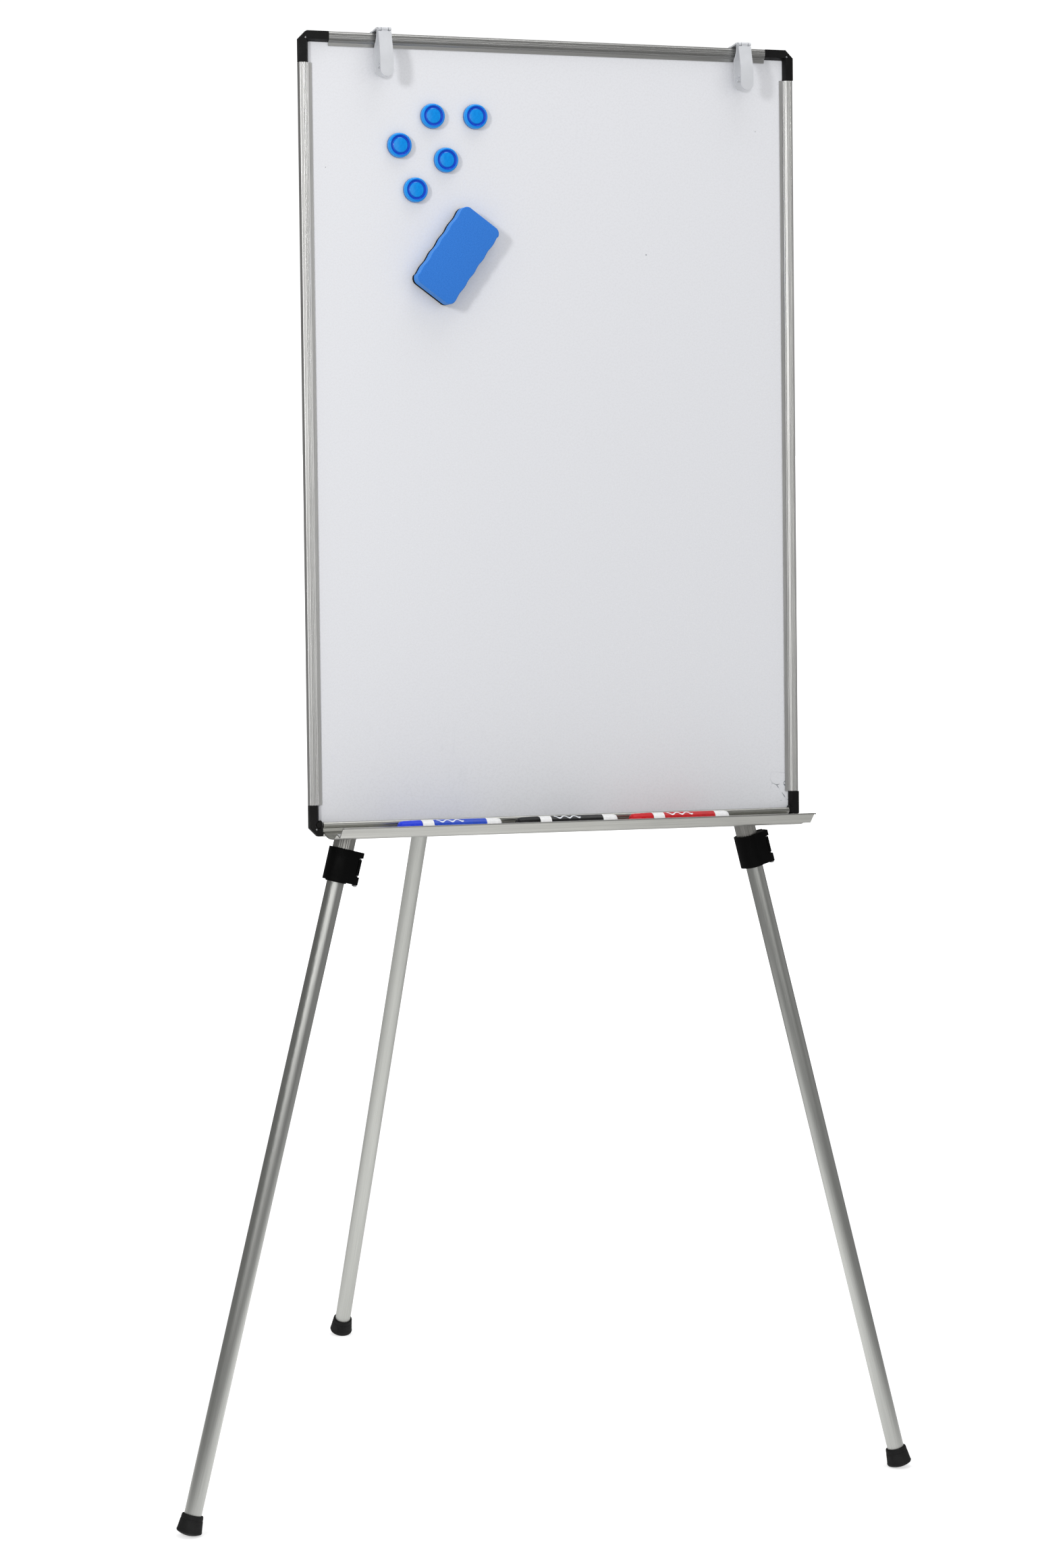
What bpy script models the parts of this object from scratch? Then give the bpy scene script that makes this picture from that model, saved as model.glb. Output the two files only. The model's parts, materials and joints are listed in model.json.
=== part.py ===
"""Flipchart easel: framed whiteboard, pen tray, paper hooks and a telescopic tripod."""
import math

import bmesh
import bpy
from mathutils import Matrix, Vector

# Driving dimensions, in metres and radians. +Z is up and -Y is the writing side.
TILT = math.radians(4.0)
BOARD_W = 0.612
BOARD_H = 0.914
BOARD_Y = -0.37150
BOARD_Z = 0.8010
GAP = 0.0003

RAIL_FACE = 0.0124
RAIL_WIDTH = 0.0160
RAIL_DEPTH = 0.0142
RAIL_SIDE = 0.0083
RAIL_INSET = 0.0022
SLOT_FRONT = 0.0052
SLOT_BACK = 0.0130
PANEL_INSET = 0.0040
CAP_ARM = 0.0355
CAP_WIDTH = 0.0120
CHAMFER = 0.0095

SHEET_FRONT = 0.0055
SHEET_BACK = 0.0061
CORE_FRONT = 0.0064
CORE_BACK = 0.0119
BACKING_FRONT = 0.0122
BACKING_BACK = 0.0127

TRAY_HALF = 0.2912

PIVOT_X = 0.0425
PIVOT_DEPTH = 0.0390
PIVOT_H = 0.8210
SPLAY = math.radians(14.19)
REAR_DEPTH = 0.0650
REAR_H = 0.8255
REAR_OPEN = math.radians(27.06)

UPPER_R = 0.0125
UPPER_BORE = 0.0107
LOWER_R = 0.0102
LOWER_BORE = 0.0090
CLAMP_S = 0.8836
UPPER_END = 0.8936
LOWER_TOP = 0.8000
CLAMP_PIN = (0.0208, -0.0070)
CLIP_S = 0.8004
FOOT_H = 0.0245
FOOT_DOME = 0.0283
SOLE_FLAT = 0.0004

HOOK_X = (-0.2089, 0.2370)
HOOK_HALF = 0.0078
HOOK_HINGE = (-0.0142, 0.9168)

MAGNETS = ((-0.1461, 0.8228), (-0.0940, 0.8238), (-0.1867, 0.7883), (-0.1304, 0.7731), (-0.1679, 0.7380))
MAGNET_R = 0.0145
ERASER_AT = (-0.1228, 0.6626)
ERASER_TURN = math.radians(35.8)
ERASER_LEN = 0.1070
ERASER_WID = 0.0540

MARKER_X = (-0.2100, -0.0660, 0.0755)
MARKER_NAMES = ("blue", "black", "red")
MARKER_R = 0.0085
MARKER_LEN = 0.1240
MARKER_AT = (0.0305, 0.0085)

BOARD = Matrix.Translation((0.0, BOARD_Y, BOARD_Z)) @ Matrix.Rotation(-TILT, 4, "X")


def leg_frame(side):
    """Frame of a leg with its origin on the pivot and +Z up the tube; side 0 is the rear leg."""
    if side == 0:
        turn = Matrix.Rotation(REAR_OPEN, 4, "X")
        return BOARD @ Matrix.Translation((0.0, REAR_DEPTH, REAR_H)) @ turn
    turn = Matrix.Rotation(-side * SPLAY, 4, "Y")
    return BOARD @ Matrix.Translation((side * PIVOT_X, PIVOT_DEPTH, PIVOT_H)) @ turn


def foot_apex(side):
    """Distance along a leg from its pivot to the end of its foot's dome."""
    frame = leg_frame(side)
    rise = (frame.to_3x3() @ Vector((0.0, 0.0, 1.0))).z
    return (frame.translation.z - FOOT_DOME + SOLE_FLAT) / rise + FOOT_DOME


def clear_scene():
    """Remove every object that the scene starts with."""
    for obj in list(bpy.data.objects):
        bpy.data.objects.remove(obj, do_unlink=True)


def material(name, look):
    """Principled material from a colour, a roughness and a metallic value."""
    colour, roughness, metallic = look
    mat = bpy.data.materials.new(name)
    mat.use_nodes = True
    shader = mat.node_tree.nodes["Principled BSDF"]
    shader.inputs["Base Color"].default_value = (*colour, 1.0)
    shader.inputs["Roughness"].default_value = roughness
    shader.inputs["Metallic"].default_value = metallic
    return mat


WHITE = ((0.86, 0.87, 0.88), 0.25, 0.0)
CORE = ((0.55, 0.42, 0.28), 0.90, 0.0)
ZINC = ((0.62, 0.64, 0.66), 0.45, 0.9)
ALUMINIUM = ((0.66, 0.67, 0.67), 0.38, 1.0)
STEEL = ((0.56, 0.57, 0.58), 0.30, 1.0)
BLACK = ((0.012, 0.012, 0.013), 0.50, 0.0)
RUBBER = ((0.015, 0.015, 0.015), 0.75, 0.0)
GREY = ((0.66, 0.67, 0.66), 0.42, 0.0)
MAGNET_BLUE = ((0.01, 0.22, 0.80), 0.20, 0.0)
FERRITE = ((0.05, 0.05, 0.055), 0.60, 0.3)
FOAM_BLUE = ((0.03, 0.20, 0.66), 0.85, 0.0)
FELT = ((0.02, 0.02, 0.022), 0.95, 0.0)
PEN_WHITE = ((0.85, 0.85, 0.84), 0.35, 0.0)
CAP_LOOKS = {
    "blue": ((0.01, 0.07, 0.70), 0.35, 0.0),
    "black": ((0.012, 0.012, 0.014), 0.35, 0.0),
    "red": ((0.66, 0.01, 0.02), 0.35, 0.0),
}


def to_mesh(bm, name):
    """Turn a bmesh into a mesh whose faces point outwards."""
    bmesh.ops.recalc_face_normals(bm, faces=bm.faces)
    mesh = bpy.data.meshes.new(name)
    bm.to_mesh(mesh)
    bm.free()
    return mesh


def add(name, mesh, frame, look, smooth=False):
    """Add a mesh to the scene as a named object with its own material."""
    obj = bpy.data.objects.new(name, mesh)
    bpy.context.collection.objects.link(obj)
    obj.matrix_world = frame
    if not mesh.materials:
        mesh.materials.append(material(name + "_finish", look))
    if smooth:
        mesh.shade_smooth()
        mesh.set_sharp_from_angle(angle=math.radians(32.0))
    return obj


def prism(points, low, high, name="prism", axis="X"):
    """Extrude a closed outline; the two outline coordinates fill the axes left over, in order."""
    order = {"X": (2, 0, 1), "Y": (0, 2, 1), "Z": (0, 1, 2)}[axis]
    bm = bmesh.new()
    rings = []
    for level in (low, high):
        ring = []
        for first, second in points:
            parts = (first, second, level)
            ring.append(bm.verts.new((parts[order[0]], parts[order[1]], parts[order[2]])))
        rings.append(ring)
    bm.faces.new(rings[0])
    bm.faces.new(rings[1])
    count = len(points)
    for i in range(count):
        j = (i + 1) % count
        bm.faces.new((rings[0][i], rings[0][j], rings[1][j], rings[1][i]))
    return to_mesh(bm, name)


def box(low, high, name="box"):
    """Rectangular block between two corners."""
    outline = [(low[0], low[1]), (high[0], low[1]), (high[0], high[1]), (low[0], high[1])]
    return prism(outline, low[2], high[2], name, "Z")


def lathe(profile, segments, name="lathe", axis="Z"):
    """Turn a closed (radius, height) profile round an axis; radius 0 becomes a single point."""
    bm = bmesh.new()
    rings = []
    for radius, height in profile:
        if radius == 0.0:
            rings.append([bm.verts.new((0.0, 0.0, height))])
            continue
        ring = []
        for i in range(segments):
            angle = 2.0 * math.pi * i / segments
            ring.append(bm.verts.new((radius * math.cos(angle), radius * math.sin(angle), height)))
        rings.append(ring)
    count = len(rings)
    for k in range(count):
        here = rings[k]
        after = rings[(k + 1) % count]
        if len(here) == 1 and len(after) == 1:
            continue
        for i in range(segments):
            j = (i + 1) % segments
            corners = (here[i % len(here)], here[j % len(here)], after[j % len(after)], after[i % len(after)])
            bm.faces.new(tuple(dict.fromkeys(corners)))
    if axis == "X":
        bmesh.ops.transform(bm, matrix=Matrix.Rotation(math.pi / 2.0, 4, "Y"), verts=bm.verts)
    if axis == "Y":
        bmesh.ops.transform(bm, matrix=Matrix.Rotation(-math.pi / 2.0, 4, "X"), verts=bm.verts)
    return to_mesh(bm, name)


def rod(radius, low, high, segments=20, axis="Z"):
    """Plain solid rod between two heights on its axis."""
    return lathe([(0.0, low), (radius, low), (radius, high), (0.0, high)], segments, "rod", axis)


def moved(mesh, offset):
    """Shift a mesh's vertices by a fixed offset."""
    mesh.transform(Matrix.Translation(offset))
    return mesh


def combine(mesh, tools, operation):
    """Join, cut or intersect a mesh with other meshes, one after another."""
    for tool in tools:
        base = bpy.data.objects.new("base", mesh)
        other = bpy.data.objects.new("other", tool)
        for obj in (base, other):
            bpy.context.collection.objects.link(obj)
        modifier = base.modifiers.new("step", "BOOLEAN")
        modifier.operation = operation
        modifier.solver = "EXACT"
        modifier.object = other
        bpy.context.view_layer.update()
        graph = bpy.context.evaluated_depsgraph_get()
        result = bpy.data.meshes.new_from_object(base.evaluated_get(graph))
        for obj in (base, other):
            bpy.data.objects.remove(obj, do_unlink=True)
        result.materials.clear()
        mesh = result
    bm = bmesh.new()
    bm.from_mesh(mesh)
    bmesh.ops.remove_doubles(bm, verts=bm.verts, dist=0.000002)
    bmesh.ops.dissolve_limit(bm, angle_limit=0.0005, verts=bm.verts, edges=bm.edges)
    return to_mesh(bm, "combined")


def ribbon(path, thickness):
    """Closed outline of a bent strip that follows a path."""
    half = thickness / 2.0
    left = []
    right = []
    for i, point in enumerate(path):
        here = Vector(point)
        before = Vector(path[max(i - 1, 0)])
        after = Vector(path[min(i + 1, len(path) - 1)])
        into = (here - before).normalized() if i > 0 else (after - here).normalized()
        out = (after - here).normalized() if i < len(path) - 1 else into
        side_in = Vector((-into.y, into.x))
        side_out = Vector((-out.y, out.x))
        mitre = (side_in + side_out).normalized()
        reach = half / max(mitre.dot(side_out), 0.5)
        left.append(tuple(here + mitre * reach))
        right.append(tuple(here - mitre * reach))
    return left + right[::-1]


def rounded_end(half, low, high, steps=8):
    """Upright outline with a round lower end of the given half width."""
    points = [(half, high), (-half, high)]
    for i in range(steps + 1):
        angle = math.pi + math.pi * i / steps
        points.append((half * math.cos(angle), low + half + half * math.sin(angle)))
    return points


def panel_outline():
    """Outline of the board's layers, with corners cut to clear the corner caps."""
    right = BOARD_W / 2.0 - PANEL_INSET
    top = BOARD_H - PANEL_INSET
    low = PANEL_INSET
    cut = CHAMFER + 0.0018
    return [
        (-right + cut, low), (right - cut, low), (right, low + cut), (right, top - cut),
        (right - cut, top), (-right + cut, top), (-right, top - cut), (-right, low + cut),
    ]


def build_panel():
    """White steel writing sheet, fibre core and zinc backing sheet."""
    layers = (
        ("writing_surface", SHEET_FRONT, SHEET_BACK, WHITE),
        ("board_core", CORE_FRONT, CORE_BACK, CORE),
        ("backing_sheet", BACKING_FRONT, BACKING_BACK, ZINC),
    )
    for name, front, back, look in layers:
        add(name, prism(panel_outline(), front, back, name, "Y"), BOARD, look)


def face_curve(share):
    """Point (across, depth) on a rail's bowed face, from its outer bevel to the lip."""
    stops = ((0.0018, 0.0002), (0.0045, 0.0), (0.0080, 0.0003), (0.0105, 0.0016), (RAIL_FACE, 0.0043))
    place = share * (len(stops) - 1)
    i = min(int(place), len(stops) - 2)
    part = place - i
    return (
        stops[i][0] + (stops[i + 1][0] - stops[i][0]) * part,
        stops[i][1] + (stops[i + 1][1] - stops[i][1]) * part,
    )


def rail_outline():
    """Rail section as (distance in from the board's edge, depth), with eight ribs on its face."""
    points = [(0.0, 0.0024), (0.0006, 0.0010)]
    ribs = 8
    for i in range(ribs):
        for share, sink in ((0.0, 0.0004), (0.25, 0.0), (0.75, 0.0)):
            across, depth = face_curve((i + share) / ribs)
            points.append((across - sink * 0.3, depth + sink))
    points += [(RAIL_FACE, 0.0043), (RAIL_WIDTH, 0.0045), (RAIL_WIDTH, SLOT_FRONT)]
    points += [(0.0037, SLOT_FRONT), (0.0037, SLOT_BACK), (0.0110, SLOT_BACK), (0.0110, RAIL_DEPTH)]
    points += [(RAIL_INSET, RAIL_DEPTH), (RAIL_INSET, RAIL_SIDE + 0.0008), (0.0, RAIL_SIDE)]
    return points


def build_rails():
    """Four ribbed aluminium rails that grip the panel's edges."""
    section = rail_outline()
    reach = BOARD_W / 2.0 - CAP_ARM - GAP
    half = BOARD_W / 2.0
    for name, edge, sign in (("frame_bottom", 0.0, 1.0), ("frame_top", BOARD_H, -1.0)):
        outline = [(depth, edge + sign * across) for across, depth in section]
        add(name, prism(outline, -reach, reach, name, "X"), BOARD, ALUMINIUM)
    low = CAP_ARM + GAP
    high = BOARD_H - low
    for name, edge, sign in (("frame_left", -half, 1.0), ("frame_right", half, -1.0)):
        outline = [(edge + sign * across, depth) for across, depth in section]
        add(name, prism(outline, low, high, name, "Z"), BOARD, ALUMINIUM)


def cap_layer(x, z, right, up, points, front, back):
    """One slab of a corner cap, drawn from the board's corner inwards."""
    return prism([(x + right * a, z + up * b) for a, b in points], front, back, "layer", "Y")


def cap_slope(x, z, right, up):
    """Space in front of a cap's sloping inner faces: a square hole that narrows towards the back."""
    bm = bmesh.new()
    rings = []
    for near, depth in ((0.0087, -0.0010), (0.0096, 0.0006), (0.0124, SLOT_FRONT + 0.0004)):
        ring = []
        for a, b in ((near, near), (0.06, near), (0.06, 0.06), (near, 0.06)):
            ring.append(bm.verts.new((x + right * a, depth, z + up * b)))
        rings.append(ring)
    bm.faces.new(rings[0])
    bm.faces.new(rings[2])
    for k in (0, 1):
        for i in range(4):
            j = (i + 1) % 4
            bm.faces.new((rings[k][i], rings[k][j], rings[k + 1][j], rings[k + 1][i]))
    return to_mesh(bm, "slope")


def build_corner_caps():
    """Black corner pieces with a cut-off outer corner, a set-in back and a screw dimple."""
    wide = CAP_WIDTH
    arm = CAP_ARM
    shape = [
        (CHAMFER, 0.0), (arm, 0.0), (arm, wide), (wide + 0.0015, wide), (wide, wide + 0.0015),
        (wide, arm), (0.0, arm), (0.0, CHAMFER),
    ]
    cut = CHAMFER + 0.0055
    slot = [(cut, 0.0037), (0.06, 0.0037), (0.06, 0.06), (0.0037, 0.06), (0.0037, cut)]
    out = RAIL_INSET
    bend = CHAMFER + 0.0031
    band = [(bend - out, out), (0.06, out), (0.06, -0.01), (-0.01, -0.01), (-0.01, 0.06), (out, 0.06)]
    band.append((out, bend - out))
    wing = [(0.0090, 0.0098), (0.0130, 0.0102), (0.0143, 0.0125), (0.0143, 0.0160), (0.0128, 0.0185)]
    wing.append((0.0090, 0.0160))
    half = BOARD_W / 2.0
    corners = (
        ("corner_cap_bottom_left", -half, 0.0, 1.0, 1.0),
        ("corner_cap_bottom_right", half, 0.0, -1.0, 1.0),
        ("corner_cap_top_left", -half, BOARD_H, 1.0, -1.0),
        ("corner_cap_top_right", half, BOARD_H, -1.0, -1.0),
    )
    for name, x, z, right, up in corners:
        solid = cap_layer(x, z, right, up, shape, 0.0, RAIL_DEPTH)
        tools = [
            cap_layer(x, z, right, up, slot, SLOT_FRONT, SLOT_BACK),
            cap_layer(x, z, right, up, band, RAIL_SIDE, 0.02),
            cap_slope(x, z, right, up),
            moved(rod(0.0015, -0.004, 0.0011, 12, "Y"), (x + right * 0.0078, 0.0, z + up * 0.0080)),
        ]
        solid = combine(solid, tools, "DIFFERENCE")
        if up > 0.0:
            boss = moved(rod(0.0026, -0.0022, 0.0042, 12, "Y"), (x + right * 0.0098, 0.0, z + 0.0134))
            solid = combine(solid, [boss, cap_layer(x, z, right, up, wing, -0.0012, 0.0042)], "UNION")
        add(name, solid, BOARD, BLACK)


def tray_outline():
    """Tray section as (depth, height): back wall with a bead, trough, ridge and folded-out lip."""
    under = (
        (0.3, 16.4), (0.3, 0.0), (1.6, 0.4), (3.2, 2.3), (4.4, 3.3), (5.6, 3.5), (7.2, 2.9), (11.0, 1.0),
        (16.0, -0.6), (22.0, -1.6), (30.0, -2.0), (38.0, -1.8), (42.0, -1.0), (46.0, 0.7), (50.0, 3.0),
        (52.6, 4.1), (55.6, 3.4), (59.5, 1.9), (63.0, 1.0), (64.4, 1.3), (67.9, 4.6), (71.9, 8.5),
        (75.2, 11.6), (80.6, 11.8),
    )
    over = (
        (80.6, 13.1), (74.7, 13.0), (70.9, 9.6), (66.9, 5.6), (63.8, 2.7), (60.0, 3.3), (56.2, 4.8),
        (52.6, 5.6), (49.4, 4.4), (45.4, 2.1), (41.7, 0.4), (38.0, -0.4), (30.0, -0.6), (22.0, -0.2),
        (16.0, 0.8), (11.4, 2.4), (8.0, 4.3), (5.8, 5.0), (3.4, 4.7), (1.9, 5.6), (1.8, 9.5), (3.4, 10.1),
        (4.7, 11.4), (5.2, 13.0), (4.7, 14.7), (3.4, 16.0), (1.7, 16.5),
    )
    return [(-depth / 1000.0, height / 1000.0) for depth, height in under + over]


def build_tray():
    """Aluminium pen tray fixed across the lower rail."""
    tray = prism(tray_outline(), -TRAY_HALF, TRAY_HALF, "marker_tray", "X")
    add("marker_tray", tray, BOARD, ALUMINIUM, True)


def fluted_ring(count, outer, groove, inner, low, high, name):
    """Hollow tube with fine flutes along its outside."""
    bm = bmesh.new()
    rings = []
    levels = ((outer, groove, low), (outer, groove, high), (inner, inner, high), (inner, inner, low))
    for radius_a, radius_b, level in levels:
        ring = []
        for i in range(count * 2):
            angle = math.pi * i / count
            radius = radius_a if i % 2 == 0 else radius_b
            ring.append(bm.verts.new((radius * math.cos(angle), radius * math.sin(angle), level)))
        rings.append(ring)
    for k in range(4):
        here = rings[k]
        after = rings[(k + 1) % 4]
        for i in range(count * 2):
            j = (i + 1) % (count * 2)
            bm.faces.new((here[i], here[j], after[j], after[i]))
    return to_mesh(bm, name)


def build_upper_tube(name, side, frame):
    """Fluted outer tube, drilled at its top for the pivot pin."""
    top = 0.0140
    tube = fluted_ring(32, UPPER_R, UPPER_R - 0.0003, UPPER_BORE, -UPPER_END, top, name)
    across = "X" if side == 0 else "Y"
    drill = rod(0.0033, -0.02, 0.02, 12, across)
    add(name, combine(tube, [drill], "DIFFERENCE"), frame, ALUMINIUM)


def build_lower_tube(name, side, frame):
    """Smooth inner tube that slides inside the upper one."""
    end = foot_apex(side) - FOOT_H + 0.0162
    profile = [(LOWER_R, -end), (LOWER_R, -LOWER_TOP), (LOWER_BORE, -LOWER_TOP), (LOWER_BORE, -end)]
    tube = moved(lathe(profile, 24, name), (0.0, 0.0, CLAMP_S))
    add(name, tube, frame @ Matrix.Translation((0.0, 0.0, -CLAMP_S)), ALUMINIUM, True)


def build_foot(name, side, frame):
    """Rubber foot with a socket for the tube and a domed sole, flattened where it meets the floor."""
    apex = -foot_apex(side)
    profile = [(0.0107, apex + FOOT_H), (0.0120, apex + FOOT_H), (0.0126, apex + FOOT_H - 0.0008)]
    profile += [(0.0146, apex + 0.0072), (0.0151, apex + 0.0056)]
    rim = math.asin(0.0151 / FOOT_DOME)
    for share in (0.90, 0.66, 0.34):
        turn = rim * share
        profile.append((FOOT_DOME * math.sin(turn), apex + FOOT_DOME * (1.0 - math.cos(turn))))
    profile += [(0.0, apex), (0.0, apex + FOOT_H - 0.0166), (0.0107, apex + FOOT_H - 0.0166)]
    foot = moved(lathe(profile, 18, name), (0.0, 0.0, CLAMP_S))
    place = frame @ Matrix.Translation((0.0, 0.0, -CLAMP_S))
    floor = box((-1.0, -1.0, -0.1), (1.0, 1.0, 0.0), "floor")
    floor.transform(place.inverted())
    add(name, combine(foot, [floor], "DIFFERENCE"), place, RUBBER, True)


def collar_outline():
    """Clamp section: a round wall that runs out into two ears on its +X side."""
    points = []
    steps = 16
    for i in range(steps + 1):
        angle = math.radians(64.0) + math.radians(232.0) * i / steps
        points.append((0.0161 * math.cos(angle), 0.0161 * math.sin(angle)))
    points += [(0.0218, -0.0118), (0.0235, -0.0102), (0.0235, 0.0082), (0.0218, 0.0100)]
    return points


def lever_clearance():
    """Outline of the space that the lever's handle needs behind the collar's round wall."""
    points = [(0.030, 0.0029), (0.030, 0.030), (0.004, 0.030)]
    for i in range(13):
        angle = math.radians(76.0) - math.radians(66.0) * i / 12
        points.append((0.0169 * math.cos(angle), 0.0169 * math.sin(angle)))
    return points


def build_collar(name, frame):
    """Black clamp collar with a stepped bore, a split and a window for the lever's knuckle."""
    solid = prism(collar_outline(), -0.0191, 0.0191, name, "Z")
    tools = [
        prism(lever_clearance(), -0.0097, 0.0125, "clearance", "Z"),
        rod(0.0130, -0.0100, 0.0300, 24),
        rod(0.0107, -0.0300, 0.0000, 24),
        box((0.0050, 0.0012, -0.0300), (0.0300, 0.0042, 0.0300)),
        box((0.0178, -0.0300, -0.0097), (0.0300, 0.0300, 0.0125)),
        moved(rod(0.0019, -0.0300, 0.0300, 12), (*CLAMP_PIN, 0.0)),
    ]
    add(name, combine(solid, tools, "DIFFERENCE"), frame, BLACK, True)


def build_lever(name, frame):
    """Curved clamp lever: a knuckle on the pin and a handle that wraps the back of the collar."""
    outline = []
    for i in range(9):
        angle = math.radians(150.0) + math.radians(180.0) * i / 8
        outline.append((CLAMP_PIN[0] + 0.0026 * math.cos(angle), CLAMP_PIN[1] + 0.0026 * math.sin(angle)))
    outline += [(0.0234, -0.0068), (0.0234, 0.0046)]
    steps = 12
    for i in range(steps + 1):
        angle = math.radians(24.0) + math.radians(88.0) * i / steps
        outline.append((0.0205 * math.cos(angle), 0.0205 * math.sin(angle)))
    for i in range(steps + 1):
        angle = math.radians(112.0) - math.radians(94.0) * i / steps
        outline.append((0.0173 * math.cos(angle), 0.0173 * math.sin(angle)))
    outline.append((0.0182, 0.0036))
    outline = [(x - CLAMP_PIN[0], y - CLAMP_PIN[1]) for x, y in outline]
    solid = prism(outline, -0.0079, 0.0107, name, "Z")
    solid = combine(solid, [rod(0.0019, -0.03, 0.03, 12)], "DIFFERENCE")
    add(name, solid, frame @ Matrix.Translation((*CLAMP_PIN, 0.0)), BLACK, True)


def build_clamp_pin(name, frame):
    """Steel pin through the ears and the lever's knuckle."""
    profile = [(0.0, -0.0214), (0.0013, -0.0214), (0.0016, -0.0210), (0.0016, 0.0184), (0.0, 0.0184)]
    pin = lathe(profile, 12, name)
    add(name, pin, frame @ Matrix.Translation((*CLAMP_PIN, 0.0)), STEEL, True)


def build_legs():
    """Three telescopic legs with their clamps and feet."""
    for label, side in (("left", -1), ("right", 1), ("rear", 0)):
        frame = leg_frame(side)
        build_upper_tube("upper_tube_" + label, side, frame)
        build_lower_tube("lower_tube_" + label, side, frame)
        build_foot("foot_" + label, side, frame)
        clamp = frame @ Matrix.Translation((0.0, 0.0, -CLAMP_S))
        build_collar("clamp_collar_" + label, clamp)
        build_lever("clamp_lever_" + label, clamp)
        build_clamp_pin("clamp_pin_" + label, clamp)


def build_head_bracket():
    """Moulded bracket on the back of the board that carries the three leg pivots."""
    frame = BOARD @ Matrix.Translation((0.0, 0.0, PIVOT_H))
    plate = [
        (-0.066, -0.030), (-0.052, -0.044), (0.052, -0.044), (0.066, -0.030),
        (0.066, 0.030), (0.052, 0.044), (-0.052, 0.044), (-0.066, 0.030),
    ]
    solid = prism(plate, BACKING_BACK + GAP, 0.0175, "head_bracket", "Y")
    parts = []
    for side in (-1, 1):
        boss = rod(0.0135, 0.0170, PIVOT_DEPTH - UPPER_R - GAP, 24, "Y")
        parts.append(moved(boss, (side * PIVOT_X, 0.0, 0.0)))
    rise = REAR_H - PIVOT_H
    cheek = [(0.0170, -0.024), (0.0560, rise - 0.013)]
    for i in range(9):
        angle = -math.pi / 2.0 + math.pi * i / 8.0
        cheek.append((REAR_DEPTH + 0.013 * math.cos(angle), rise + 0.013 * math.sin(angle)))
    cheek += [(0.0560, rise + 0.013), (0.0170, 0.034)]
    for low, high in ((-0.0174, -0.0132), (0.0132, 0.0174)):
        parts.append(prism(cheek, low, high, "cheek", "X"))
    web = REAR_DEPTH - 0.0192
    parts.append(box((-0.0150, web - 0.004, rise + 0.001), (0.0150, web, rise + 0.0135)))
    solid = combine(solid, parts, "UNION")
    holes = [moved(rod(0.0033, 0.0, 0.06, 16, "X"), (-0.03, REAR_DEPTH, rise))]
    for side in (-1, 1):
        holes.append(moved(rod(0.0032, 0.0150, 0.06, 16, "Y"), (side * PIVOT_X, 0.0, 0.0)))
    add("head_bracket", combine(solid, holes, "DIFFERENCE"), frame, BLACK, True)


def build_pivot_pins():
    """Headed steel pins on which the three legs fold."""
    for label, side in (("left", -1), ("right", 1)):
        reach = PIVOT_DEPTH - 0.0153
        profile = [(0.0, -reach), (0.0029, -reach), (0.0029, 0.0128), (0.0062, 0.0128), (0.0062, 0.0142)]
        profile += [(0.0048, 0.0154), (0.0, 0.0154)]
        pin = lathe(profile, 16, "pin", "Y")
        frame = BOARD @ Matrix.Translation((side * PIVOT_X, PIVOT_DEPTH, PIVOT_H))
        add("pivot_pin_" + label, pin, frame, STEEL, True)
    profile = [(0.0, -0.0200), (0.0046, -0.0200), (0.0060, -0.0192), (0.0060, -0.0177), (0.0029, -0.0177)]
    profile += [(0.0029, 0.0190), (0.0, 0.0190)]
    pin = lathe(profile, 16, "pin", "X")
    add("pivot_pin_rear", pin, BOARD @ Matrix.Translation((0.0, REAR_DEPTH, REAR_H)), STEEL, True)


def build_leg_clips():
    """Hooks on the back of the board that hold the front legs spread; their mouths face inwards."""
    base = BACKING_BACK + GAP - PIVOT_DEPTH
    shape = [
        (0.0170, base), (-0.0190, base), (-0.0190, 0.0158), (-0.0175, 0.0172), (0.0020, 0.0172),
        (0.0052, 0.0160), (0.0040, 0.0136), (0.0000, 0.0131), (-0.0110, 0.0131), (-0.0130, 0.0110),
        (-0.0130, -0.0110), (-0.0112, -0.0129), (0.0070, -0.0129), (0.0090, -0.0145), (0.0090, -0.0225),
        (0.0170, -0.0225),
    ]
    for label, side in (("left", -1), ("right", 1)):
        outline = [(-side * x, y) for x, y in shape]
        clip = prism(outline, -0.014, 0.014, "leg_clip_" + label, "Z")
        frame = leg_frame(side) @ Matrix.Translation((0.0, 0.0, -CLIP_S))
        add("leg_clip_" + label, clip, frame, BLACK)


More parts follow.
